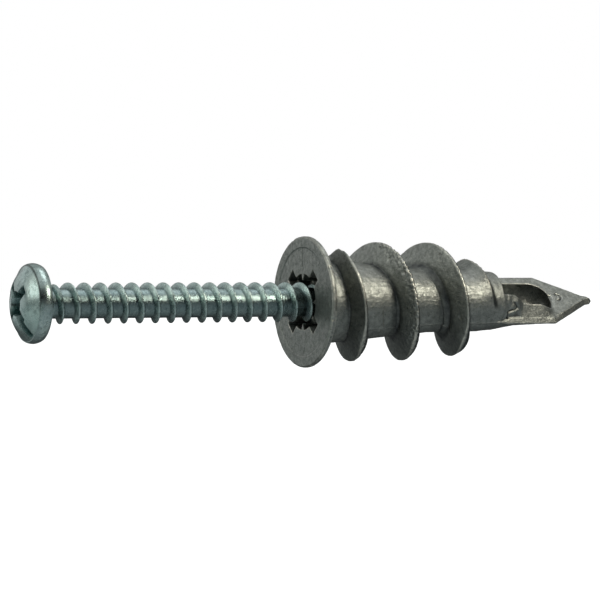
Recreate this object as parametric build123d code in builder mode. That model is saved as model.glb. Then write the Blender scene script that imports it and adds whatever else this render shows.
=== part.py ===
"""Self-drilling plasterboard anchor with its pan-head tapping screw.

Two pieces: the anchor body, one zinc die-casting, and the steel screw.
Frame: origin at the centre of the flange's front face, +X along the axis into
the wall, +Z up. Millimetres. The screw is shown started in the anchor.
"""

from build123d import *
import os
from math import cos, pi, radians, sin, tan

os.makedirs("parts", exist_ok=True)

# ------------------------------------------------- screw, driving sizes
thread_pitch = 1.83
thread_d = 4.40
core_d = 3.22
crest_land = 0.26  # width of the rounded crest
thread_angle = 56  # between the flanks, degrees
thread_top_x = -0.32  # a crest passes the top of the screw here

under_head_x = -30.98
screw_length = 35.0  # under the head
tip_x = under_head_x + screw_length
point_length = 3.2  # from the full crests to the point
tip_r = 0.12

head_d = 8.48  # over the middle of the bulged rim
head_rim_d = 8.01  # where the rim meets the dome and the underside
head_rim_h = 1.42
head_dome_h = 1.26
head_flat_d = 5.62  # the dome is nearly flat inside this
head_shoulder_h = 0.47
head_ledge = 0.06  # step between the dome and the rim
collar_d = 3.50
collar_fillet_d = 4.60  # foot of the collar on the underside
collar_length = 0.70
thread_run_in = 1.35  # length over which the first crest grows

wing_span = 5.2
wing_width = 1.2
runout_r, runout_width = 4.2, 1.3  # a longer stray cut beside one wing, towards the rim
recess_depth = 2.1
recess_taper = 14
recess_core_d = 2.7
recess_turn = 52  # of the wings about the axis, degrees
runout_turn = 61

# ------------------------------------------------ anchor, driving sizes
flange_d = 14.50
flange_rim_t = 0.60
flange_edge = 0.14
flange_root_x = 1.00  # back of the flange at the body
flange_root_d = 10.0
face_step_d = 12.1  # the middle of the front face lies a little lower
face_step = 0.06

body_root_x, body_root_d = 1.60, 9.45
body_waist_x, body_waist_d = 15.8, 7.05
body_end_x, body_end_d = 22.3, 6.95
sleeve_end_x, sleeve_end_d = 24.15, 6.66
bore_d = 4.60  # clear of the screw's crests

drive_span = 8.54  # over the flat ends of two opposite arms
drive_arm_w = 1.66
drive_depth = 2.6
drive_taper = 9
drive_ring_d = 6.2
tooth_tip_d = 4.66
tooth_half_angle = 22

flight_pitch = 6.48
flight_d = 13.3
flight_land = 0.34
flight_base = 2.1  # axial width at the body
flight_fillet_w = 0.55  # extra width of the rounded foot, each side
flight_fillet_h = 0.60
flight_top_x = 2.78  # the flight passes the top of the body here
flight_start_x = 2.90
flight_full_x = 3.48
flight_fade_x = 17.6
flight_fade_steps = ((19.0, 6.1), (21.4, 4.6))  # (x, crest radius) on the way down
flight_end_x = 23.6

# blade: a flat spade tip in a plane through the axis, turned about it
blade_turn = 45
blade_w = 7.34
blade_t = 0.90
blade_bevel_t = 0.38  # across the thickness
blade_bevel_w = 0.50  # across the width
blade_root_x = 21.0
blade_full_x = 25.2
shoulder_x = 31.55
nub_x, nub_w = 36.95, 1.40
blade_tip_x, blade_tip_w = 37.96, 0.40
channel_end_x = 29.9  # centre of the channel's ball end
trough_d = 5.50  # outside of the trough behind the blade

# ------------------------------------------------------ screw, geometry
core_r, crest_r = core_d / 2, thread_d / 2
thread_h = crest_r - core_r
ridge_foot = 0.12  # depth inside the core where the flanks end
crest_edge_h = thread_h - 0.10
thread_base = crest_land + 2 * (crest_edge_h + ridge_foot) * tan(radians(thread_angle / 2))
crest_grown_x = under_head_x + collar_length + thread_run_in

with BuildPart() as screw_recess:
    head_top_x = under_head_x - head_rim_h - head_dome_h
    head_top = Plane(origin=(head_top_x - 0.05, 0, 0), x_dir=(0, 1, 0), z_dir=(1, 0, 0))
    with BuildSketch(head_top):
        with Locations(Rotation(0, 0, recess_turn)):
            Rectangle(wing_span, wing_width)
    extrude(amount=recess_depth, taper=recess_taper)
    with BuildSketch(head_top):
        with Locations(Rotation(0, 0, recess_turn + 90)):
            Rectangle(wing_span, wing_width)
    extrude(amount=recess_depth, taper=recess_taper)
    with BuildSketch(head_top):
        with Locations(Rotation(0, 0, runout_turn)):
            with Locations((-runout_r / 2, 0)):
                Rectangle(runout_r, runout_width)
    extrude(amount=recess_depth, taper=recess_taper)
    with BuildSketch(head_top):
        Circle(recess_core_d / 2)
    extrude(amount=recess_depth + 0.35, taper=recess_taper)

with BuildPart() as screw:
    # threaded stock, longer than the shank at both ends
    with BuildSketch(Plane.XZ):
        with Locations(((under_head_x + tip_x) / 2, core_r / 2)):
            Rectangle(screw_length + 3, core_r)
    revolve(axis=Axis.X)
    with BuildLine() as screw_path:
        Helix(
            pitch=thread_pitch,
            height=19 * thread_pitch,
            radius=core_r,
            center=(thread_top_x - 17 * thread_pitch, 0, 0),
            direction=(1, 0, 0),
        )
    helix_start = Plane(
        origin=screw_path.line @ 0, x_dir=(0, 0, 1), z_dir=screw_path.line % 0
    )
    with BuildSketch(helix_start):
        with BuildLine():
            rising = Line((-ridge_foot, -thread_base / 2), (crest_edge_h, -crest_land / 2))
            crest = ThreePointArc(rising @ 1, (thread_h, 0), (crest_edge_h, crest_land / 2))
            falling = Line(crest @ 1, (-ridge_foot, thread_base / 2))
            Line(falling @ 1, rising @ 0)
        make_face()
    sweep(path=screw_path.wires()[0], is_frenet=True)
    # the crests grow out of the collar
    with BuildSketch(Plane.XZ):
        with BuildLine():
            Polyline(
                (under_head_x - 2, 0),
                (under_head_x - 2, crest_r + 0.6),
                (crest_grown_x + 0.3, crest_r + 0.6),
                (crest_grown_x, crest_r + 0.05),
                (under_head_x + collar_length, core_r + 0.02),
                (under_head_x + 1, core_r + 0.02),
                (under_head_x + 1, 0),
                close=True,
            )
        make_face()
    revolve(axis=Axis.X, mode=Mode.SUBTRACT)
    # and run down to the point
    with BuildSketch(Plane.XZ):
        with BuildLine():
            Polyline(
                (tip_x - point_length - 0.2, crest_r + 0.6),
                (tip_x - point_length, crest_r + 0.05),
                (tip_x - 0.15, tip_r + 0.08),
                (tip_x, tip_r),
                (tip_x, 0),
                (tip_x + 3, 0),
                (tip_x + 3, crest_r + 0.6),
                close=True,
            )
        make_face()
    revolve(axis=Axis.X, mode=Mode.SUBTRACT)
    # head and collar, turned in one outline
    with BuildSketch(Plane.XZ):
        with BuildLine():
            rim_r, bulge_r = head_rim_d / 2, head_d / 2
            dome = Bezier(
                (head_top_x, 0),
                (head_top_x, head_flat_d / 2),
                (head_top_x + head_shoulder_h, head_flat_d / 2),
                (under_head_x - head_rim_h, rim_r),
            )
            ledge = Line(dome @ 1, (under_head_x - head_rim_h, rim_r + head_ledge))
            rim = ThreePointArc(
                ledge @ 1, (under_head_x - head_rim_h / 2, bulge_r), (under_head_x, rim_r)
            )
            Polyline(
                rim @ 1,
                (under_head_x, collar_fillet_d / 2),
                (under_head_x + 0.35, collar_d / 2),
                (under_head_x + collar_length, collar_d / 2),
                (under_head_x + collar_length + 0.3, core_r - 0.02),
                (under_head_x + collar_length + 0.3, 0),
                dome @ 0,
            )
        make_face()
    revolve(axis=Axis.X)
    add(screw_recess.part, mode=Mode.SUBTRACT)

screw.part.label = "screw"
export_step(screw.part, "parts/screw.step")

# ----------------------------------------------------- anchor, geometry
flight_r = flight_d / 2
flight_core_r = body_waist_d / 2  # the helix runs on the slimmest part of the body
flight_h = flight_r - flight_core_r

with BuildPart() as flight:
    with BuildLine() as flight_path:
        Helix(
            pitch=flight_pitch,
            height=4 * flight_pitch,
            radius=flight_core_r,
            center=(flight_top_x - flight_pitch, 0, 0),
            direction=(1, 0, 0),
        )
    flight_start = Plane(
        origin=flight_path.line @ 0, x_dir=(0, 0, 1), z_dir=flight_path.line % 0
    )
    with BuildSketch(flight_start):
        foot = flight_base / 2 + flight_fillet_w
        with BuildLine():
            Polyline(
                (-0.35, -foot - 0.25),
                (0.15, -foot),
                (flight_fillet_h, -flight_base / 2),
                (flight_h - 0.05, -flight_land / 2),
                (flight_h, -flight_land / 2 + 0.06),
                (flight_h, flight_land / 2 - 0.06),
                (flight_h - 0.05, flight_land / 2),
                (flight_fillet_h, flight_base / 2),
                (0.15, foot),
                (-0.35, foot + 0.25),
                close=True,
            )
        make_face()
    sweep(path=flight_path.wires()[0], is_frenet=True)
    # the flight grows out of the body behind the flange
    with BuildSketch(Plane.XZ):
        with BuildLine():
            Polyline(
                (-flight_pitch, 0),
                (-flight_pitch, flight_r + 1),
                (flight_start_x - 0.9, flight_r + 1),
                (flight_start_x - 0.9, 0),
                close=True,
            )
        make_face()
    revolve(axis=Axis.X, mode=Mode.SUBTRACT)
    with BuildSketch(Plane.XZ):
        with BuildLine():
            Polyline(
                (0, 5),
                (0, flight_r + 1),
                (flight_full_x + 0.7, flight_r + 1),
                (flight_full_x, flight_r + 0.1),
                (flight_start_x, 4.25),
                (flight_start_x - 1.4, 4.1),
                close=True,
            )
        make_face()
    revolve(axis=Axis.X, mode=Mode.SUBTRACT)
    # and fades before the blade
    with BuildSketch(Plane.XZ):
        with BuildLine():
            Polyline(
                (flight_fade_x, flight_r + 1),
                (flight_fade_x + 0.05, flight_r + 0.05),
                *flight_fade_steps,
                (flight_end_x, body_end_d / 2 - 0.05),
                (flight_end_x, 0),
                (flight_end_x + 12, 0),
                (flight_end_x + 12, flight_r + 1),
                close=True,
            )
        make_face()
    revolve(axis=Axis.X, mode=Mode.SUBTRACT)

with BuildPart() as drive_recess:
    face_plane = Plane(origin=(-0.05, 0, 0), x_dir=(0, 1, 0), z_dir=(1, 0, 0))
    for arm_turn in (45, 135):
        with BuildSketch(face_plane):
            with Locations(Rotation(0, 0, arm_turn)):
                Rectangle(drive_span, drive_arm_w)
        extrude(amount=drive_depth, taper=drive_taper)
    with BuildSketch(face_plane):
        Circle(drive_ring_d / 2)
        # four pointed teeth reach in between the arms
        tooth_tip_r = tooth_tip_d / 2
        tooth_foot_r = drive_ring_d / 2 + 0.1
        tooth_half_w = (tooth_foot_r - tooth_tip_r) * sin(radians(tooth_half_angle))
        with PolarLocations(0, 4):
            Polygon(
                (tooth_tip_r, 0),
                (tooth_foot_r, tooth_half_w),
                (tooth_foot_r, -tooth_half_w),
                align=None,
                mode=Mode.SUBTRACT,
            )
    extrude(amount=drive_depth)

blade_plane = Plane(
    origin=(0, 0, 0),
    x_dir=(1, 0, 0),
    z_dir=(0, -sin(radians(blade_turn)), cos(radians(blade_turn))),
)

with BuildPart() as blade:
    with BuildSketch(blade_plane.offset(-blade_t / 2)):
        with BuildLine():
            half_w = blade_w / 2
            Polyline(
                (blade_root_x, 0),
                (blade_root_x, body_end_d / 2 - 0.25),
                (sleeve_end_x - 0.8, sleeve_end_d / 2),
                (blade_full_x, half_w),
                (shoulder_x, half_w),
                (nub_x, nub_w / 2),
                (nub_x + 0.65, nub_w / 2 - 0.12),
                (blade_tip_x, blade_tip_w / 2),
                (blade_tip_x, 0),
            )
            mirror(about=Plane.XZ)
        make_face()
    extrude(amount=blade_t)
    # the front and back of the blade are narrower than its middle
    for _ in range(2):
        flat_faces = blade.faces().filter_by(Axis((0, 0, 0), blade_plane.z_dir))
        blade_face = flat_faces.sort_by(SortBy.AREA)[-1]
        outline = blade_face.edges().filter_by(lambda e: (e @ 0.5).X > blade_root_x + 0.1)
        chamfer(outline, length=blade_bevel_w, length2=blade_bevel_t, reference=blade_face)

with BuildPart() as anchor_body:
    with BuildSketch(Plane.XZ):
        with BuildLine():
            flange_r = flange_d / 2
            Polyline(
                (0, 0),
                (0, flange_r - flange_edge),
                (flange_edge, flange_r),
                (flange_rim_t - flange_edge / 2, flange_r),
                (flange_rim_t, flange_r - flange_edge / 2),
                (flange_root_x, flange_root_d / 2),
                (body_root_x, body_root_d / 2),
                (body_waist_x, body_waist_d / 2),
                (body_end_x, body_end_d / 2),
                (sleeve_end_x, sleeve_end_d / 2),
                (sleeve_end_x + 3, trough_d / 2 + 0.1),
                (channel_end_x, trough_d / 2),
            )
            ThreePointArc(
                (channel_end_x, trough_d / 2),
                (channel_end_x + trough_d / 2 * cos(pi / 4), trough_d / 2 * sin(pi / 4)),
                (channel_end_x + trough_d / 2, 0),
            )
            Line((channel_end_x + trough_d / 2, 0), (0, 0))
        make_face()
    revolve(axis=Axis.X)
    # in front of the blade the body stops at the sleeve's end
    with BuildSketch(Plane(origin=(sleeve_end_x, 0, 0), x_dir=(0, 1, 0), z_dir=(1, 0, 0))):
        with Locations(Rotation(0, 0, blade_turn)):
            with Locations((0, blade_t / 2 + 5)):
                Rectangle(20, 10)
    extrude(amount=20, mode=Mode.SUBTRACT)
    add(flight.part)
    add(blade.part)
    # low middle of the front face
    with BuildSketch(Plane(origin=(0, 0, 0), x_dir=(0, 1, 0), z_dir=(1, 0, 0))):
        Circle(face_step_d / 2)
    extrude(amount=face_step, mode=Mode.SUBTRACT)
    add(drive_recess.part, mode=Mode.SUBTRACT)
    # bore, open to the front of the blade beyond the sleeve, with a ball end
    with BuildSketch(Plane(origin=(0, 0, 0), x_dir=(0, 1, 0), z_dir=(1, 0, 0))):
        Circle(bore_d / 2)
    extrude(amount=channel_end_x, mode=Mode.SUBTRACT)
    with Locations((channel_end_x, 0, 0)):
        Sphere(bore_d / 2, mode=Mode.SUBTRACT)

anchor_body.part.label = "anchor_body"
export_step(anchor_body.part, "parts/anchor_body.step")
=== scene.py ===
"""Looks of the self-drilling wall anchor and its screw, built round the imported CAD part.

The anchor body is a new mesh: the CAD node's shape on an even grid of quads, with the
casting's seam, flash, dents and rough skin pressed into it. The screw keeps its CAD mesh.
Meshes are worked on in millimetres and scaled to metres at the end.
"""

import math

import bmesh
import bpy
import numpy as np
from mathutils import Matrix, Vector, noise


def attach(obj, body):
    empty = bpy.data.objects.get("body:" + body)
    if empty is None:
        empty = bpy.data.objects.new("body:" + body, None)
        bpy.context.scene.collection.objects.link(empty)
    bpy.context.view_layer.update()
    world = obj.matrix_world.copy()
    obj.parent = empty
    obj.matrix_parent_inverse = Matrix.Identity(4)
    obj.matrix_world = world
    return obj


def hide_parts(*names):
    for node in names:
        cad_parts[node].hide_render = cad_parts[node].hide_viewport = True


MM = 0.001  # metres in a millimetre

# driving sizes of the object, millimetres, as in the CAD
FLIGHT_PITCH = 6.48
FLIGHT_TOP_X = 2.78  # the flight passes the top of the body here
FLIGHT_R = 6.65
FLANGE_R = 7.25
BLADE_TURN = math.radians(45)
SLEEVE_END_X = 24.15
CHANNEL_R = 2.30
CHANNEL_END_X = 29.9  # centre of the channel's ball end
BODY_RADIUS = ((15.8, 3.525), (22.3, 3.475), (SLEEVE_END_X, 3.33))  # along the axis
HEAD_UNDER_X = -30.98
HEAD_RIM_H = 1.42
HEAD_DOME_H = 1.26

# the looks' own sizes, millimetres
GRID_CELL = 0.085  # of the casting's mesh
FLASH_END_X = 32.05
# the screw's dark roots are painted shade
ROOT_SHADE_R, UNSHADED_R = 1.60, 2.00  # the screw's dark roots fade out between these radii
CLEAR_OF_FLIGHT_R = 4.6  # inside this radius the body is clear of the flight's flanks

# the flight's crest radius as it runs out, by the angle past the top of the body in degrees
RUN_OUT_CREST = (
    (-60, 5.42), (-45, 5.30), (-15, 5.00), (0, 4.66), (15, 4.45),
    (35, 4.28), (60, 3.85), (85, 3.55), (98, 3.38),
)
# the first crest's radius as it rises behind the flange, by the same angle
FIRST_CREST = ((-30, 4.75), (-10, 4.85), (0, 5.0), (8.7, 5.37), (17, 6.15), (24, 6.55), (40, 6.75))
# along the axis, and how many degrees the flash climbs round the core pin there
LIP_CLIMB = (
    (24.0, 66), (25.9, 63), (26.6, 54), (27.2, 43), (28.0, 38),
    (29.8, 37), (30.6, 34), (31.2, 27), (31.7, 20), (FLASH_END_X, 12),
)
# the crack's path: along the axis, across the blade and out of its face
FLASH_CRACK = ((25.8, -2.28, 1.94), (26.3, -2.58, 1.44), (24.97, -2.92, 1.10), (25.0, -3.10, 0.38))
# the mould's line on the flange's face, above the recess
TICK = ((0.05, 0.1, 3.9), (0.05, 0.1, 6.2))
# the ejector pin's half-ring on the blade: along the axis, across the blade, radius
PIN_X, PIN_ACROSS, PIN_R = 33.25, 0.1, 0.46
# scuffed lengths of the flight: from and to in turns past the first top, inner radius, depth
SCUFFS = ((0.98, 1.42, 5.3, 0.07), (0.30, 0.55, 6.3, 0.03), (2.02, 2.20, 6.2, 0.05))
# dents in the flight's flank: turns past the first top, radius from the axis, size, depth
FLANK_DENTS = (
    (1.03, 6.0, 0.42, 0.12), (1.09, 5.6, 0.34, 0.10), (1.16, 6.1, 0.40, 0.12),
    (2.08, 6.0, 0.30, 0.08), (2.30, 5.6, 0.35, 0.08), (0.85, 5.7, 0.40, 0.10),
)
# dents in the flange's rim: radians above the near side, size, depth
RIM_DENTS = (
    (-0.25, 0.30, 0.12), (0.55, 0.35, 0.08), (1.9, 0.35, 0.08), (3.6, 0.40, 0.10), (5.0, 0.30, 0.08),
)
SEAM_H, SEAM_W = 0.08, 0.11  # of the mould's seam along the body
MOULD_OFFSET = 0.05  # between the mould's halves
CREASE_H = 0.30  # of the flight's flanks at the seam
CRACK_DEPTH, TICK_DEPTH, PIN_DEPTH = 0.22, 0.06, 0.12

CAMERA_TURN = math.radians(62.81)  # between the view and the axis
CAMERA_DISTANCE = 277.8
CAMERA_LENS = 151.1

# the studio, in metres
FLOOR_Z = -0.045
# name, aim, towards, distance, size, power, colour, spread in degrees
LIGHTS = (
    ("key", (0.008, 0, 0), (0.42, -0.73, 0.53), 0.12, (0.030, 0.045), 0.011, (1.0, 0.94, 0.80), 60),
    ("left", (-0.033, 0, 0), (-0.86, -0.06, 0.54), 0.25, (0.18, 0.20), 0.19, (1.0, 1.0, 0.93), 180),
    ("top", (-0.020, 0, 0), (0.36, 0.02, 0.93), 0.30, (0.22, 0.10), 0.14, (1.0, 1.0, 1.0), 180),
    ("back", (0.0, 0, 0), (-0.50, 0.9, 0.24), 0.50, (0.50, 0.34), 0.25, (1.0, 1.0, 1.0), 180),
)

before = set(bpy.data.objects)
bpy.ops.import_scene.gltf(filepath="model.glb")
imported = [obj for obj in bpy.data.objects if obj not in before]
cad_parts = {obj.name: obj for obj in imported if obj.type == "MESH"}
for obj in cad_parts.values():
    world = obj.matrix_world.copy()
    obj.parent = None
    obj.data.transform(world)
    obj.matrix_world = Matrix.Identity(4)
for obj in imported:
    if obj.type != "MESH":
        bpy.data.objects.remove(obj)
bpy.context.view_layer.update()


# ------------------------------------------------------------------ mesh tools
def link(obj):
    bpy.context.scene.collection.objects.link(obj)
    return obj


def vertices(mesh):
    """The mesh's points as an array of rows."""
    flat = np.zeros(len(mesh.vertices) * 3)
    mesh.vertices.foreach_get("co", flat)
    return flat.reshape(-1, 3)


def set_vertices(mesh, points):
    mesh.vertices.foreach_set("co", points.ravel())
    mesh.update()


def vertex_normals(mesh):
    flat = np.zeros(len(mesh.vertices) * 3)
    mesh.vertex_normals.foreach_get("vector", flat)
    return flat.reshape(-1, 3)


def smooth_points(mesh, points, rounds):
    """The points after some rounds of moving each one to the middle of its neighbours."""
    ends = np.zeros(len(mesh.edges) * 2, dtype=np.int64)
    mesh.edges.foreach_get("vertices", ends)
    a, b = ends[0::2], ends[1::2]
    count = np.bincount(ends, minlength=len(points))[:, None]
    for _ in range(rounds):
        total = np.empty_like(points)
        for k in range(3):
            total[:, k] = np.bincount(a, points[b, k], len(points))
            total[:, k] += np.bincount(b, points[a, k], len(points))
        points = 0.5 * points + 0.5 * total / count
    return points


def convexity(mesh, rounds):
    """How far each point stands proud of its surroundings: above 0 on edges, below 0 in corners."""
    points = vertices(mesh)
    away = points - smooth_points(mesh, points, rounds)
    return np.einsum("ij,ij->i", away, vertex_normals(mesh))


def store(mesh, name, values):
    attribute = mesh.attributes.new(name, "FLOAT", "POINT")
    attribute.data.foreach_set("value", np.asarray(values, dtype=np.float32))


def noise_field(points, scale, offset=0.0):
    """Smooth noise between about -1 and 1 with features of this size in millimetres."""
    shift = Vector((offset, -offset, 0.5 * offset))
    return np.array([noise.noise(Vector(p) / scale + shift) for p in points])


def bump_at(points, centre, radius):
    """1 at the centre, falling smoothly to 0 at the radius."""
    d = np.linalg.norm(points - np.array(centre), axis=1) / radius
    return np.clip(1 - d * d, 0, 1) ** 2


def even_copy(node, name, extras, cell):
    """A new object with the node's shape, and the extra meshes fused to it, on an even grid."""
    solid = bmesh.new()
    solid.from_mesh(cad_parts[node].data)
    bmesh.ops.scale(solid, vec=(1 / MM,) * 3, verts=solid.verts)
    bmesh.ops.remove_doubles(solid, verts=solid.verts, dist=1e-4)
    for extra in extras:
        solid.from_mesh(extra)
    guide_mesh = bpy.data.meshes.new("guide")
    solid.to_mesh(guide_mesh)
    solid.free()
    guide = link(bpy.data.objects.new("guide", guide_mesh))
    gridded = link(bpy.data.objects.new("gridded", guide_mesh))
    grid = gridded.modifiers.new("grid", "REMESH")
    grid.mode = "VOXEL"
    grid.voxel_size = cell
    snap = gridded.modifiers.new("snap", "SHRINKWRAP")
    snap.target = guide
    snap.wrap_method = "NEAREST_SURFACEPOINT"
    snap.wrap_mode = "ON_SURFACE"
    depsgraph = bpy.context.evaluated_depsgraph_get()
    mesh = bpy.data.meshes.new_from_object(gridded.evaluated_get(depsgraph))
    bpy.data.objects.remove(gridded)
    bpy.data.objects.remove(guide)
    return link(bpy.data.objects.new(name, mesh))


# ------------------------------------------------------------------ places on the anchor
def blade_coordinates(points):
    """Across the blade (towards the upper far edge) and out of its front face."""
    s, c = math.sin(BLADE_TURN), math.cos(BLADE_TURN)
    across = points[:, 1] * c + points[:, 2] * s
    out = -points[:, 1] * s + points[:, 2] * c
    return across, out


def blade_point(x, across, out):
    s, c = math.sin(BLADE_TURN), math.cos(BLADE_TURN)
    return (x, across * c - out * s, across * s + out * c)


def flight_point(turns, r):
    """The flight's middle at this radius, this many turns after it passes the body's top."""
    angle = 2 * math.pi * turns
    return (FLIGHT_TOP_X + FLIGHT_PITCH * turns, -r * math.sin(angle), r * math.cos(angle))


# ------------------------------------------------------------------ anchor body
def channel_radius(x):
    """The channel's radius: the bore's, closing to a ball beyond the ball's centre."""
    past = np.clip(x - CHANNEL_END_X, 0, CHANNEL_R)
    return np.sqrt(CHANNEL_R**2 - past**2)


def flash_lip():
    """Metal that crept up round the core pin on the near side of the channel, left as cast.

    One closed strip: its sections lie across the axis, from the blade's face up along the pin.
    """
    strip = bmesh.new()
    stations = np.linspace(SLEEVE_END_X - 0.35, FLASH_END_X, 64)
    steps = 10
    sections = []
    for x in stations:
        climb = np.interp(x, *zip(*LIP_CLIMB))
        climb += 3.0 * noise.noise(Vector((x * 1.9, 0.3, 0))) * (x < 28)
        lump = np.interp(x, (26.2, 27.2), (1.0, 0.0))
        pin = channel_radius(x) + 0.04
        section = []
        for t in np.linspace(0, 1, steps):
            angle = math.radians(climb * (1 - t) + 2.0 * t)
            section.append((-pin * math.cos(angle), pin * math.sin(angle)))
        top = section[0]
        foot = (np.interp(x, (31.2, FLASH_END_X), (-3.42, -2.4)), 0.22)
        bulge_r = np.interp(x, (SLEEVE_END_X, 25.0, 26.0, 27.2), (3.30, 3.12, 2.98, 2.85))
        for t in np.linspace(0, 1, steps)[1:]:
            angle = math.radians((climb - 5) * t + 3.0 * (1 - t))
            bulge = bulge_r + 0.14 * noise.noise(Vector((x * 1.6, t * 3.0, 5)))
            round_side = (-bulge * math.cos(angle), bulge * math.sin(angle))
            flat_side = (
                foot[0] + (top[0] - 0.16 - foot[0]) * t,
                foot[1] + (top[1] - foot[1]) * t,
            )
            section.append(
                tuple(lump * a + (1 - lump) * b for a, b in zip(round_side, flat_side))
            )
        ring = [strip.verts.new(blade_point(x, across, out)) for across, out in section]
        sections.append(ring)
    for ring, after in zip(sections, sections[1:]):
        for i in range(len(ring)):
            j = (i + 1) % len(ring)
            strip.faces.new((ring[i], ring[j], after[j], after[i]))
    strip.faces.new(list(reversed(sections[0])))
    strip.faces.new(sections[-1])
    bmesh.ops.recalc_face_normals(strip, faces=strip.faces)
    mesh = bpy.data.meshes.new("flash_lip")
    strip.to_mesh(mesh)
    strip.free()
    return mesh


def flight_distance(x, angle):
    """Along the axis, from the nearest crest of the flight; below 0 on the head's side."""
    turns = (x - FLIGHT_TOP_X) / FLIGHT_PITCH - angle / (2 * math.pi)
    return FLIGHT_PITCH * ((turns + 0.5) % 1 - 0.5)


def run_out_distance(x, angle):
    """Along the axis, from the crest of the flight's last half turn, which runs steeper."""
    crest_x = FLIGHT_TOP_X + 3 * FLIGHT_PITCH + FLIGHT_PITCH * angle / (2 * math.pi)
    early = np.interp(np.degrees(angle), (-60, 0, 30, 90), (0.0, 0.60, 0.95, 1.20))
    return x - crest_x + early


def shape_run_out(points):
    """The flight's last half turn sinks into the sleeve, steep on its far side."""
    x = points[:, 0]
    r = np.hypot(points[:, 1], points[:, 2])
    angle = np.arctan2(-points[:, 1], points[:, 2])
    turn = np.degrees(angle)
    crest_r = np.interp(turn, *zip(*RUN_OUT_CREST))
    body_r = np.interp(x, *zip(*BODY_RADIUS))
    ahead = run_out_distance(x, angle)
    profile = np.where(
        ahead < 0, np.clip(1 + ahead / 1.5, 0, 1) ** 1.2, np.clip(1 - ahead / 0.30, 0, 1)
    )
    wanted = np.maximum(body_r, body_r + (crest_r - body_r) * profile)
    share = np.interp(turn, (-62, -45, 115, 125), (0.0, 1.0, 1.0, 0.0))
    share *= (ahead > -1.7) & (x < SLEEVE_END_X - 0.05) & (r > 3.15)
    scale = 1 + share * (wanted / np.maximum(r, 0.1) - 1)
    points[:, 1] *= scale
    points[:, 2] *= scale


def round_first_crest(mesh, points):
    """The flight rises out of the body behind the flange in one rounded hump."""
    x = points[:, 0]
    r = np.hypot(points[:, 1], points[:, 2])
    turn = np.degrees(np.arctan2(-points[:, 1], points[:, 2]))
    highest = np.interp(turn, *zip(*FIRST_CREST))
    near_start = (x > 1.3) & (x < 4.5) & (np.abs(turn) < 60) & (r > highest)
    scale = np.where(near_start, highest / np.maximum(r, 0.1), 1)
    points[:, 1] *= scale
    points[:, 2] *= scale
    share = np.interp(x, (1.3, 1.6, 4.0, 4.5), (0, 1, 1, 0))
    share *= np.interp(r, (4.7, 5.0), (0, 1)) * np.interp(np.abs(turn), (45, 60), (1, 0))
    points += share[:, None] * (smooth_points(mesh, points, 14) - points)


def near_path(points, path, width):
    """1 on the line through the path's points, falling to 0 at this distance from it."""
    nearest = np.full(len(points), 1e9)
    for a, b in zip(path, path[1:]):
        a, b = np.array(a), np.array(b)
        t = np.clip((points - a) @ (b - a) / ((b - a) @ (b - a)), 0, 1)
        gap = np.linalg.norm(points - a - t[:, None] * (b - a), axis=1)
        nearest = np.minimum(nearest, gap)
    return np.clip(1 - (nearest / width) ** 2, 0, 1)


def smooth_flash(mesh, points):
    """The flash runs smoothly into the blade's face at its far end."""
    across, out = blade_coordinates(points)
    share = np.interp(points[:, 0], (29.6, 30.6, 32.4, 33.0), (0, 1, 1, 0))
    share *= np.interp(out, (0.1, 0.4), (0, 1)) * np.interp(np.abs(across), (3.0, 3.3), (1, 0))
    share *= across < 0.4
    points += share[:, None] * (smooth_points(mesh, points, 60) - points)


class Spots:
    """The casting's points and where each lies. Only x follows the points as they are moved."""

    def __init__(self, mesh, points):
        self.points = points
        self.normals = vertex_normals(mesh)
        self.x = points[:, 0]
        self.r = np.hypot(points[:, 1], points[:, 2])
        self.angle = np.arctan2(-points[:, 1], points[:, 2])
        self.across, self.out = blade_coordinates(points)
        self.on_body = (self.r > 3.0) & (self.x > 1.2) & (self.x < SLEEVE_END_X)
        self.low = np.clip((CLEAR_OF_FLIGHT_R - self.r) / 0.4, 0, 1)

    def find_flight(self):
        self.distance = flight_distance(self.x, self.angle)
        self.on_flight = self.on_body * np.clip((self.r - 3.6) / 1.2, 0, 1) * (self.x < 20)

    def sink(self, depth):
        """Each point moves in by its own depth."""
        self.points -= depth[:, None] * self.normals

    def press_in(self, centre, radius, depth, direction):
        """A dent of this depth. Returns how much each point took part."""
        fade = bump_at(self.points, centre, radius)
        self.points += depth * fade[:, None] * np.array(direction)
        return fade


def roughen(spots):
    """The casting's rough skin, and the seam in the blade's plane along both sides."""
    points = spots.points
    rough = 0.020 * noise_field(points, 1.3) + 0.012 * noise_field(points, 0.45, 7.0)
    rough += 0.007 * noise_field(points, 0.2, 13.0)
    in_bore = (spots.r < 2.45) & (spots.x < SLEEVE_END_X)
    rough[in_bore] *= 0.5
    seam = SEAM_H * np.exp(-((spots.out / SEAM_W) ** 2)) * spots.on_body * spots.low
    spots.sink(-(rough + seam))


def part_the_mould(spots):
    """The flight is thickest at the seam, and the mould's halves are a little out of line."""
    crease = np.clip(1.2 - np.hypot(spots.out, 0.35) / 2.4, 0, 1)
    spots.x += CREASE_H * spots.on_flight * crease * np.tanh(spots.distance / 0.25)
    spots.x += MOULD_OFFSET * np.tanh(spots.out / 0.06) * spots.on_body * spots.low


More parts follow.
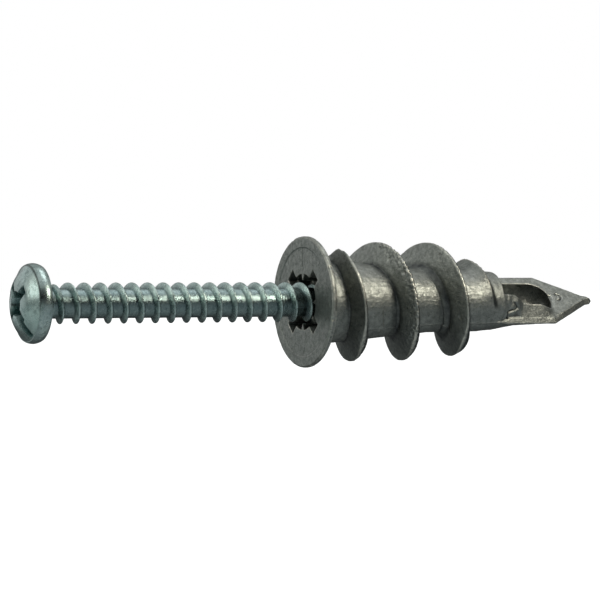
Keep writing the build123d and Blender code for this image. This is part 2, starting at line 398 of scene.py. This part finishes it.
def batter_flight(spots):
    """Scuffs and dents of the flight. Returns how far each point is scraped bare."""
    scraped = np.zeros(len(spots.points))
    turns_along = (spots.x - spots.distance - FLIGHT_TOP_X) / FLIGHT_PITCH
    pits = noise_field(spots.points, 0.42, 21.0) + 0.5 * noise_field(spots.points, 0.2, 22.0)
    for start, end, inner, depth in SCUFFS:
        share = np.interp(turns_along, (start, start + 0.05, end - 0.1, end), (0, 1, 1, 0))
        share *= spots.on_flight * np.clip((spots.r - inner) / (FLIGHT_R - inner), 0, 1)
        spots.sink(depth * share * np.clip(pits * 2.2, -0.3, 1))
        scraped = np.maximum(scraped, 0.8 * share * np.clip(-0.1 - pits * 2.0, 0, 1))
    for turns, r_dent, radius, depth in FLANK_DENTS:
        centre = np.array(flight_point(turns, r_dent))
        centre[0] -= 0.2 + 0.33 * (FLIGHT_R - r_dent)
        fade = spots.press_in(centre, radius, depth, (1, 0, 0))
        scraped = np.maximum(scraped, 0.6 * fade)
    return scraped


def dent_rim(spots):
    for turn, radius, depth in RIM_DENTS:
        y, z = -FLANGE_R * math.cos(turn), FLANGE_R * math.sin(turn)
        inward = (0, -y / FLANGE_R, -z / FLANGE_R)
        spots.press_in((0.2, y, z), radius, depth, inward)


def cut_marks(spots):
    """The pin's half-ring, a crack between flash and blade, and the tick. Returns their lines, which
    the material darkens with painted shade.
    """
    from_pin = np.hypot(spots.x - PIN_X, spots.across - PIN_ACROSS)
    half_ring = np.exp(-(((from_pin - PIN_R) / 0.11) ** 2)) * (spots.out > 0.3)
    half_ring *= np.clip((spots.x - PIN_X + 0.35) / 0.3, 0, 1)
    spots.sink(PIN_DEPTH * half_ring)
    crack = near_path(spots.points, [blade_point(*p) for p in FLASH_CRACK], 0.2) * (spots.r > 2.5)
    spots.sink(CRACK_DEPTH * crack)
    tick = near_path(spots.points, TICK, 0.13)
    spots.sink(TICK_DEPTH * tick)
    return np.maximum(np.maximum(half_ring, crack), 0.8 * tick)


def worn_edges(mesh, spots):
    """Above 0 on the casting's edges and below 0 in its corners."""
    on_crease = spots.on_flight * (np.abs(spots.out) < 0.45) * (spots.r < FLIGHT_R - 0.35)
    on_lump = (spots.x > SLEEVE_END_X + 0.1) & (spots.x < 27.5) & (spots.out > 0.55)
    edge = convexity(mesh, 10) * (1 - 0.85 * on_crease) * np.where(on_lump, 0, 1)
    return np.clip(edge / 0.05, -1, 1)


def painted_corner_shade(mesh, spots):
    """Painted shade in the corners and along both feet of the flight."""
    foot = np.interp(spots.distance, (-2.3, -1.1, -0.8, 0.5, 0.8, 1.5), (0, 0.62, 0.35, 0.2, 0.4, 0))
    foot *= spots.on_body * (spots.x < 20.5) * np.clip((CLEAR_OF_FLIGHT_R - spots.r) / 0.5, 0, 1)
    foot *= 0.75 + 0.5 * noise_field(spots.points, 0.9, 31.0)
    return np.clip(np.maximum(-convexity(mesh, 60) / 0.25, foot), 0, 1)


def crest_side_painted_shade(spots):
    """Painted shade on the crest's side towards the wall, and on the strip past the run-out's crest.
    """
    on_crest = spots.on_body & (spots.r > FLIGHT_R - 0.35) & (spots.x >= 4.2)
    side = np.where(on_crest, flight_distance(spots.x, spots.angle) / 0.2, 0)
    ahead = run_out_distance(spots.x, spots.angle)
    strip = np.interp(ahead, (-0.08, 0.02, 0.30, 0.62), (0, 1, 1, 0))
    strip *= spots.on_body * (spots.x > 20.5) * (spots.r < 5.6)
    strip *= np.interp(spots.angle, (1.70, 1.85), (1, 0))
    return np.clip(np.maximum(side, 0.42 * strip), -1, 1)


def flange_rim_dark_reflection(spots):
    """A painted dark reflection along the flange's rim, on the near side above the middle."""
    line = (spots.r > FLANGE_R - 0.12) * np.interp(spots.x, (0.22, 0.34, 0.62, 0.74), (0, 1, 1, 0))
    return line * np.interp(spots.angle, (0.7, 1.0, 1.65, 1.8), (0, 1, 1, 0))


def anchor_skin():
    piece = even_copy("anchor_body", "anchor_casting", [flash_lip()], GRID_CELL)
    mesh = piece.data
    points = vertices(mesh)
    shape_run_out(points)
    round_first_crest(mesh, points)
    smooth_flash(mesh, points)
    set_vertices(mesh, points)

    spots = Spots(mesh, points)
    roughen(spots)
    spots.find_flight()
    part_the_mould(spots)
    scraped = batter_flight(spots)
    dent_rim(spots)
    lines = cut_marks(spots)
    set_vertices(mesh, points)

    store(mesh, "edge", worn_edges(mesh, spots))
    # painted shade in the corners and along the flight's feet
    store(mesh, "painted_hollow_shade", painted_corner_shade(mesh, spots))
    store(mesh, "scraped", scraped)
    # painted shade on the crests' far side and past the run-out's crest
    store(mesh, "crest_side", crest_side_painted_shade(spots))
    # painted shade in the cut lines and a painted dark reflection on the flange's rim
    store(mesh, "painted_line_shade", np.maximum(lines, 0.8 * flange_rim_dark_reflection(spots)))
    for face in mesh.polygons:
        face.use_smooth = True
    mesh.transform(Matrix.Scale(MM, 4))
    return piece


# ------------------------------------------------------------------ material tools
class Shader:
    """Short names for the nodes of one material."""

    def __init__(self, name):
        self.material = bpy.data.materials.new(name)
        self.material.use_nodes = True
        self.tree = self.material.node_tree
        self.surface = self.tree.nodes["Principled BSDF"]
        self.place = self.node("ShaderNodeTexCoord").outputs["Object"]

    def node(self, kind, **settings):
        made = self.tree.nodes.new(kind)
        for key, value in settings.items():
            setattr(made, key, value)
        return made

    def feed(self, socket, value):
        if hasattr(value, "is_linked"):
            self.tree.links.new(value, socket)
        else:
            socket.default_value = value

    def noise(self, size_mm, detail=3.0, roughness=0.6, place=None):
        """Noise from 0 to 1 with features of about this size."""
        made = self.node("ShaderNodeTexNoise")
        self.feed(made.inputs["Vector"], place or self.place)
        made.inputs["Scale"].default_value = 1 / (size_mm * MM)
        made.inputs["Detail"].default_value = detail
        made.inputs["Roughness"].default_value = roughness
        return made.outputs["Fac"]

    def attribute(self, name):
        return self.node("ShaderNodeAttribute", attribute_name=name).outputs["Fac"]

    def math(self, operation, a, b=0.0, c=0.0):
        made = self.node("ShaderNodeMath", operation=operation)
        for socket, value in zip(made.inputs, (a, b, c)):
            self.feed(socket, value)
        return made.outputs[0]

    def remap(self, value, low, high, to_low=0.0, to_high=1.0):
        made = self.node("ShaderNodeMapRange")
        sockets = ("Value", "From Min", "From Max", "To Min", "To Max")
        for name, v in zip(sockets, (value, low, high, to_low, to_high)):
            self.feed(made.inputs[name], v)
        return made.outputs["Result"]

    def mix(self, factor, a, b):
        made = self.node("ShaderNodeMix", data_type="RGBA")
        self.feed(made.inputs["Factor"], factor)
        self.feed(made.inputs[6], a)
        self.feed(made.inputs[7], b)
        return made.outputs[2]

    def bump(self, height, depth_mm, normal=None):
        made = self.node("ShaderNodeBump")
        made.inputs["Distance"].default_value = depth_mm * MM
        self.feed(made.inputs["Height"], height)
        if normal is not None:
            self.feed(made.inputs["Normal"], normal)
        return made.outputs["Normal"]

    def finish(self, color, roughness, normal, metallic=1.0):
        self.feed(self.surface.inputs["Base Color"], color)
        self.feed(self.surface.inputs["Roughness"], roughness)
        self.feed(self.surface.inputs["Metallic"], metallic)
        self.feed(self.surface.inputs["Normal"], normal)
        return self.material


def cast_zinc():
    """Dull grey die-casting: mottled skin, bright metal on worn edges, painted shade in corners,
    along the flight's feet, on the crests' far side and in the cut lines, and a painted dark
    reflection on the flange's rim.
    """
    m = Shader("cast_zinc")
    dull, pale = (0.19, 0.20, 0.188, 1), (0.36, 0.375, 0.35, 1)
    stain, glint, pit = (0.19, 0.205, 0.195, 1), (0.55, 0.55, 0.50, 1), (0.045, 0.05, 0.05, 1)
    # the two darkest colours here are painted shade: in the corners and along the flight's feet, and
    # on the crests' far side and in the cut lines
    corner_shade, bare, shade = (0.05, 0.055, 0.058, 1), (0.70, 0.68, 0.60, 1), (0.03, 0.033, 0.033, 1)
    blotches = m.noise(2.6, 4.0)
    mottle = m.noise(0.55, 5.0, 0.7)
    grain = m.noise(0.13, 3.0)
    specks = m.noise(0.30, 2.0, 0.5)
    color = m.mix(m.remap(mottle, 0.35, 0.68), dull, pale)
    color = m.mix(m.remap(blotches, 0.5, 0.72, 0, 0.5), color, stain)
    color = m.mix(m.remap(grain, 0.58, 0.70, 0, 0.45), color, glint)
    color = m.mix(m.remap(specks, 0.66, 0.74, 0, 0.7), color, pit)
    # painted shade in the corners and along the flight's feet
    color = m.mix(m.remap(m.attribute("painted_hollow_shade"), 0.04, 0.55, 0, 0.92), color, corner_shade)
    worn = m.remap(m.attribute("edge"), 0.25, 0.9)
    worn = m.math("MULTIPLY", worn, m.remap(mottle, 0.25, 0.6, 0.35, 1.0))
    worn = m.math("MAXIMUM", worn, m.remap(m.attribute("scraped"), 0.3, 0.8, 0, 0.6))
    color = m.mix(m.math("MULTIPLY", worn, 0.7), color, bare)
    # painted shade on the crests' far side and in the cut lines, and a painted dark reflection on
    # the flange's rim
    crest_and_line_shade = m.remap(m.attribute("crest_side"), -0.05, 0.35, 0, 0.9)
    crest_and_line_shade = m.math("MAXIMUM", crest_and_line_shade, m.remap(m.attribute("painted_line_shade"), 0.3, 0.9, 0, 0.8))
    color = m.mix(crest_and_line_shade, color, shade)
    roughness = m.remap(mottle, 0.3, 0.7, 0.50, 0.36)
    roughness = m.math("SUBTRACT", roughness, m.math("MULTIPLY", worn, 0.10))
    normal = m.bump(m.noise(0.40, 4.0, 0.7), 0.05)
    normal = m.bump(grain, 0.025, normal)
    return m.finish(color, roughness, normal)


def in_head_recess(m, along, from_axis):
    """How far below the head's dome a place lies, inside the reach of the recess."""
    shape = m.math("POWER", m.math("DIVIDE", from_axis, 4 * MM), 3.5)
    top_x = HEAD_UNDER_X - HEAD_RIM_H - HEAD_DOME_H
    dome = m.math("MULTIPLY_ADD", shape, HEAD_DOME_H * MM, top_x * MM)
    depth = m.remap(m.math("SUBTRACT", along, dome), 0.12 * MM, 0.50 * MM, 0, 0.8)
    near_axis = m.remap(from_axis, 3.5 * MM, 3.7 * MM, 1, 0)
    in_head = m.remap(along, (HEAD_UNDER_X - 0.1) * MM, HEAD_UNDER_X * MM, 1, 0)
    return m.math("MULTIPLY", m.math("MULTIPLY", depth, near_axis), in_head)


def head_rim_crease_shade(m, along, from_axis, up):
    """Painted shade as a fine dark line where the head's dome meets its rim, clearest at the top."""
    crease = m.math("ABSOLUTE", m.math("SUBTRACT", along, (HEAD_UNDER_X - HEAD_RIM_H) * MM))
    crease = m.remap(crease, 0.02 * MM, 0.11 * MM, 0.8, 0.0)
    outer = m.remap(from_axis, 3.80 * MM, 3.95 * MM)
    upper = m.remap(up, -1.5 * MM, 0.5 * MM, 0.15, 1.0)
    return m.math("MULTIPLY", m.math("MULTIPLY", crease, outer), upper)


def bright_zinc_plate():
    """Glossy cool plating over rolled steel: fine grain, streaks round the axis, painted shade in
    the thread roots, in the head's recess and in the crease where the dome meets the rim.
    """
    m = Shader("bright_zinc_plate")
    cool, pale, streak = (0.34, 0.43, 0.42, 1), (0.48, 0.58, 0.56, 1), (0.22, 0.30, 0.31, 1)
    # the darkest colour on the next line is painted shade for the thread roots
    glint, tarnish, root_shade = (0.74, 0.78, 0.74, 1), (0.13, 0.18, 0.17, 1), (0.06, 0.10, 0.11, 1)
    # both colours on the next line are painted shade: in the head's recess and in the crease under
    # the dome
    shadow, line = (0.10, 0.17, 0.17, 1), (0.04, 0.05, 0.045, 1)
    clouds = m.noise(1.6, 4.0)
    fine = m.noise(0.14, 3.0, 0.7)
    stretched = m.node("ShaderNodeMapping")
    m.feed(stretched.inputs["Vector"], m.place)
    stretched.inputs["Scale"].default_value = (6.0, 1.0, 1.0)
    streaks = m.noise(1.0, 3.0, 0.6, stretched.outputs["Vector"])
    parts = m.node("ShaderNodeSeparateXYZ")
    m.feed(parts.inputs[0], m.place)
    along, across, up = (parts.outputs[axis] for axis in "XYZ")
    sideways = m.math("MULTIPLY", across, across)
    from_axis = m.math("POWER", m.math("MULTIPLY_ADD", up, up, sideways), 0.5)
    color = m.mix(m.remap(clouds, 0.35, 0.65), cool, pale)
    color = m.mix(m.remap(streaks, 0.5, 0.75, 0, 0.5), color, streak)
    color = m.mix(m.remap(fine, 0.60, 0.72, 0, 0.4), color, glint)
    color = m.mix(m.remap(m.noise(0.45, 3.0, 0.7), 0.50, 0.66, 0, 0.55), color, tarnish)
    threaded = m.remap(along, (HEAD_UNDER_X + 0.7) * MM, (HEAD_UNDER_X + 1.2) * MM)
    # painted shade in the thread roots
    low = m.remap(from_axis, ROOT_SHADE_R * MM, UNSHADED_R * MM, 0.60, 0.0)
    color = m.mix(m.math("MULTIPLY", threaded, low), color, root_shade)
    color = m.mix(in_head_recess(m, along, from_axis), color, shadow)
    # painted shade in the crease where the dome meets the rim
    color = m.mix(head_rim_crease_shade(m, along, from_axis, up), color, line)
    roughness = m.remap(clouds, 0.3, 0.7, 0.22, 0.32)
    pebbles = m.math("MULTIPLY", m.noise(0.32, 4.0, 0.75), threaded)
    normal = m.bump(streaks, 0.020)
    normal = m.bump(pebbles, 0.040, normal)
    normal = m.bump(fine, 0.010, normal)
    return m.finish(color, roughness, normal)


# ------------------------------------------------------------------ stage
def floor_material():
    """White to the camera, and a darker cool grey in the metal's reflections."""
    m = Shader("pale_floor")
    mottle = m.noise(30.0, 2.0)
    seen = m.node("ShaderNodeLightPath").outputs["Is Camera Ray"]
    white = m.mix(mottle, (0.86, 0.86, 0.86, 1), (0.90, 0.90, 0.90, 1))
    parts = m.node("ShaderNodeSeparateXYZ")
    m.feed(parts.inputs[0], m.place)
    behind = m.remap(parts.outputs["Y"], -0.02, 0.04)
    reflected = m.mix(behind, (0.52, 0.56, 0.59, 1), (0.06, 0.065, 0.07, 1))
    head_side = m.remap(parts.outputs["X"], -0.05, -0.11)
    reflected = m.mix(head_side, reflected, (0.55, 0.62, 0.62, 1))
    color = m.mix(seen, reflected, white)
    m.surface.inputs["Emission Color"].default_value = (1, 1, 1, 1)
    m.feed(m.surface.inputs["Emission Strength"], m.math("MULTIPLY", seen, 0.80))
    return m.finish(color, 0.9, m.bump(mottle, 0.01), metallic=0.0)


def build_floor():
    mesh = bpy.data.meshes.new("floor")
    round_floor = bmesh.new()
    bmesh.ops.create_circle(round_floor, cap_ends=True, radius=6.0, segments=96)
    round_floor.to_mesh(mesh)
    round_floor.free()
    floor = link(bpy.data.objects.new("floor", mesh))
    floor.location.z = FLOOR_Z
    mesh.materials.append(floor_material())


def build_world():
    """A soft studio: white to the camera, and light and dark walls in the metal's reflections."""
    world = bpy.data.worlds.new("studio")
    bpy.context.scene.world = world
    world.use_nodes = True
    tree = world.node_tree

    def remap(value, low, high):
        made = tree.nodes.new("ShaderNodeMapRange")
        made.inputs["From Min"].default_value = low
        made.inputs["From Max"].default_value = high
        tree.links.new(value, made.inputs["Value"])
        return made.outputs["Result"]

    def multiply(a, b):
        made = tree.nodes.new("ShaderNodeMath")
        made.operation = "MULTIPLY"
        tree.links.new(a, made.inputs[0])
        tree.links.new(b, made.inputs[1])
        return made.outputs[0]

    def blend(factor, base, color):
        made = tree.nodes.new("ShaderNodeMix")
        made.data_type = "RGBA"
        tree.links.new(factor, made.inputs["Factor"])
        tree.links.new(base, made.inputs[6])
        made.inputs[7].default_value = (*color, 1)
        return made.outputs[2]

    parts = tree.nodes.new("ShaderNodeSeparateXYZ")
    tree.links.new(tree.nodes.new("ShaderNodeTexCoord").outputs["Generated"], parts.inputs[0])
    height = parts.outputs["Z"]
    ramp = tree.nodes.new("ShaderNodeValToRGB")
    tree.links.new(remap(height, -1, 1), ramp.inputs["Fac"])
    stops = (
        (0.0, (0.48, 0.52, 0.56)),
        (0.40, (0.24, 0.27, 0.29)),
        (0.48, (0.05, 0.055, 0.06)),
        (0.55, (0.03, 0.032, 0.032)),
        (0.62, (0.12, 0.13, 0.125)),
        (0.75, (0.38, 0.40, 0.39)),
        (1.0, (0.66, 0.68, 0.67)),
    )
    ramp.color_ramp.elements[0].color = (*stops[0][1], 1)
    ramp.color_ramp.elements[1].color = (*stops[-1][1], 1)
    for position, color in stops[1:-1]:
        ramp.color_ramp.elements.new(position).color = (*color, 1)
    # a dark room behind the camera, and a pale wall on the head's side
    front = multiply(remap(parts.outputs["Y"], -0.15, -0.55), remap(height, 0.78, 0.55))
    front = multiply(front, remap(height, -0.30, -0.08))
    color = blend(front, ramp.outputs["Color"], (0.02, 0.02, 0.02))
    color = blend(remap(parts.outputs["X"], -0.60, -0.92), color, (0.22, 0.245, 0.23))
    seen = tree.nodes.new("ShaderNodeLightPath").outputs["Is Camera Ray"]
    tree.links.new(blend(seen, color, (1, 1, 1)), tree.nodes["Background"].inputs["Color"])


def area_light(name, aim, towards, distance, size, power, color, spread):
    light = bpy.data.lights.new(name, "AREA")
    light.shape = "RECTANGLE"
    light.size, light.size_y = size
    light.energy = power
    light.color = color
    light.spread = math.radians(spread)
    lamp = link(bpy.data.objects.new(name, light))
    direction = Vector(towards).normalized()
    lamp.location = Vector(aim) + direction * distance
    lamp.visible_camera = False
    lamp.rotation_euler = (-direction).to_track_quat("-Z", "Y").to_euler()


def build_camera():
    """Long lens, a little above the axis and well towards the head's side."""
    ahead = Vector((math.cos(CAMERA_TURN), math.sin(CAMERA_TURN), -0.0107))
    aim = Vector((-0.26, 0.0, 0.22)) * MM
    camera = bpy.data.cameras.new("camera")
    camera.sensor_width = 36
    camera.lens = CAMERA_LENS
    camera.clip_start, camera.clip_end = 0.01, 20
    stand = link(bpy.data.objects.new("camera", camera))
    stand.location = aim - ahead * CAMERA_DISTANCE * MM
    stand.rotation_euler = ahead.to_track_quat("-Z", "Y").to_euler()
    bpy.context.scene.camera = stand


# ------------------------------------------------------------------ the object
casting = anchor_skin()
casting.data.materials.append(cast_zinc())
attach(casting, "anchor")
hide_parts("anchor_body")

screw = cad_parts["screw"]
screw.data.materials.clear()
screw.data.materials.append(bright_zinc_plate())

# ------------------------------------------------------------------ the studio
build_floor()
build_world()
for light_settings in LIGHTS:
    area_light(*light_settings)
build_camera()
bpy.context.scene.view_settings.view_transform = "Standard"
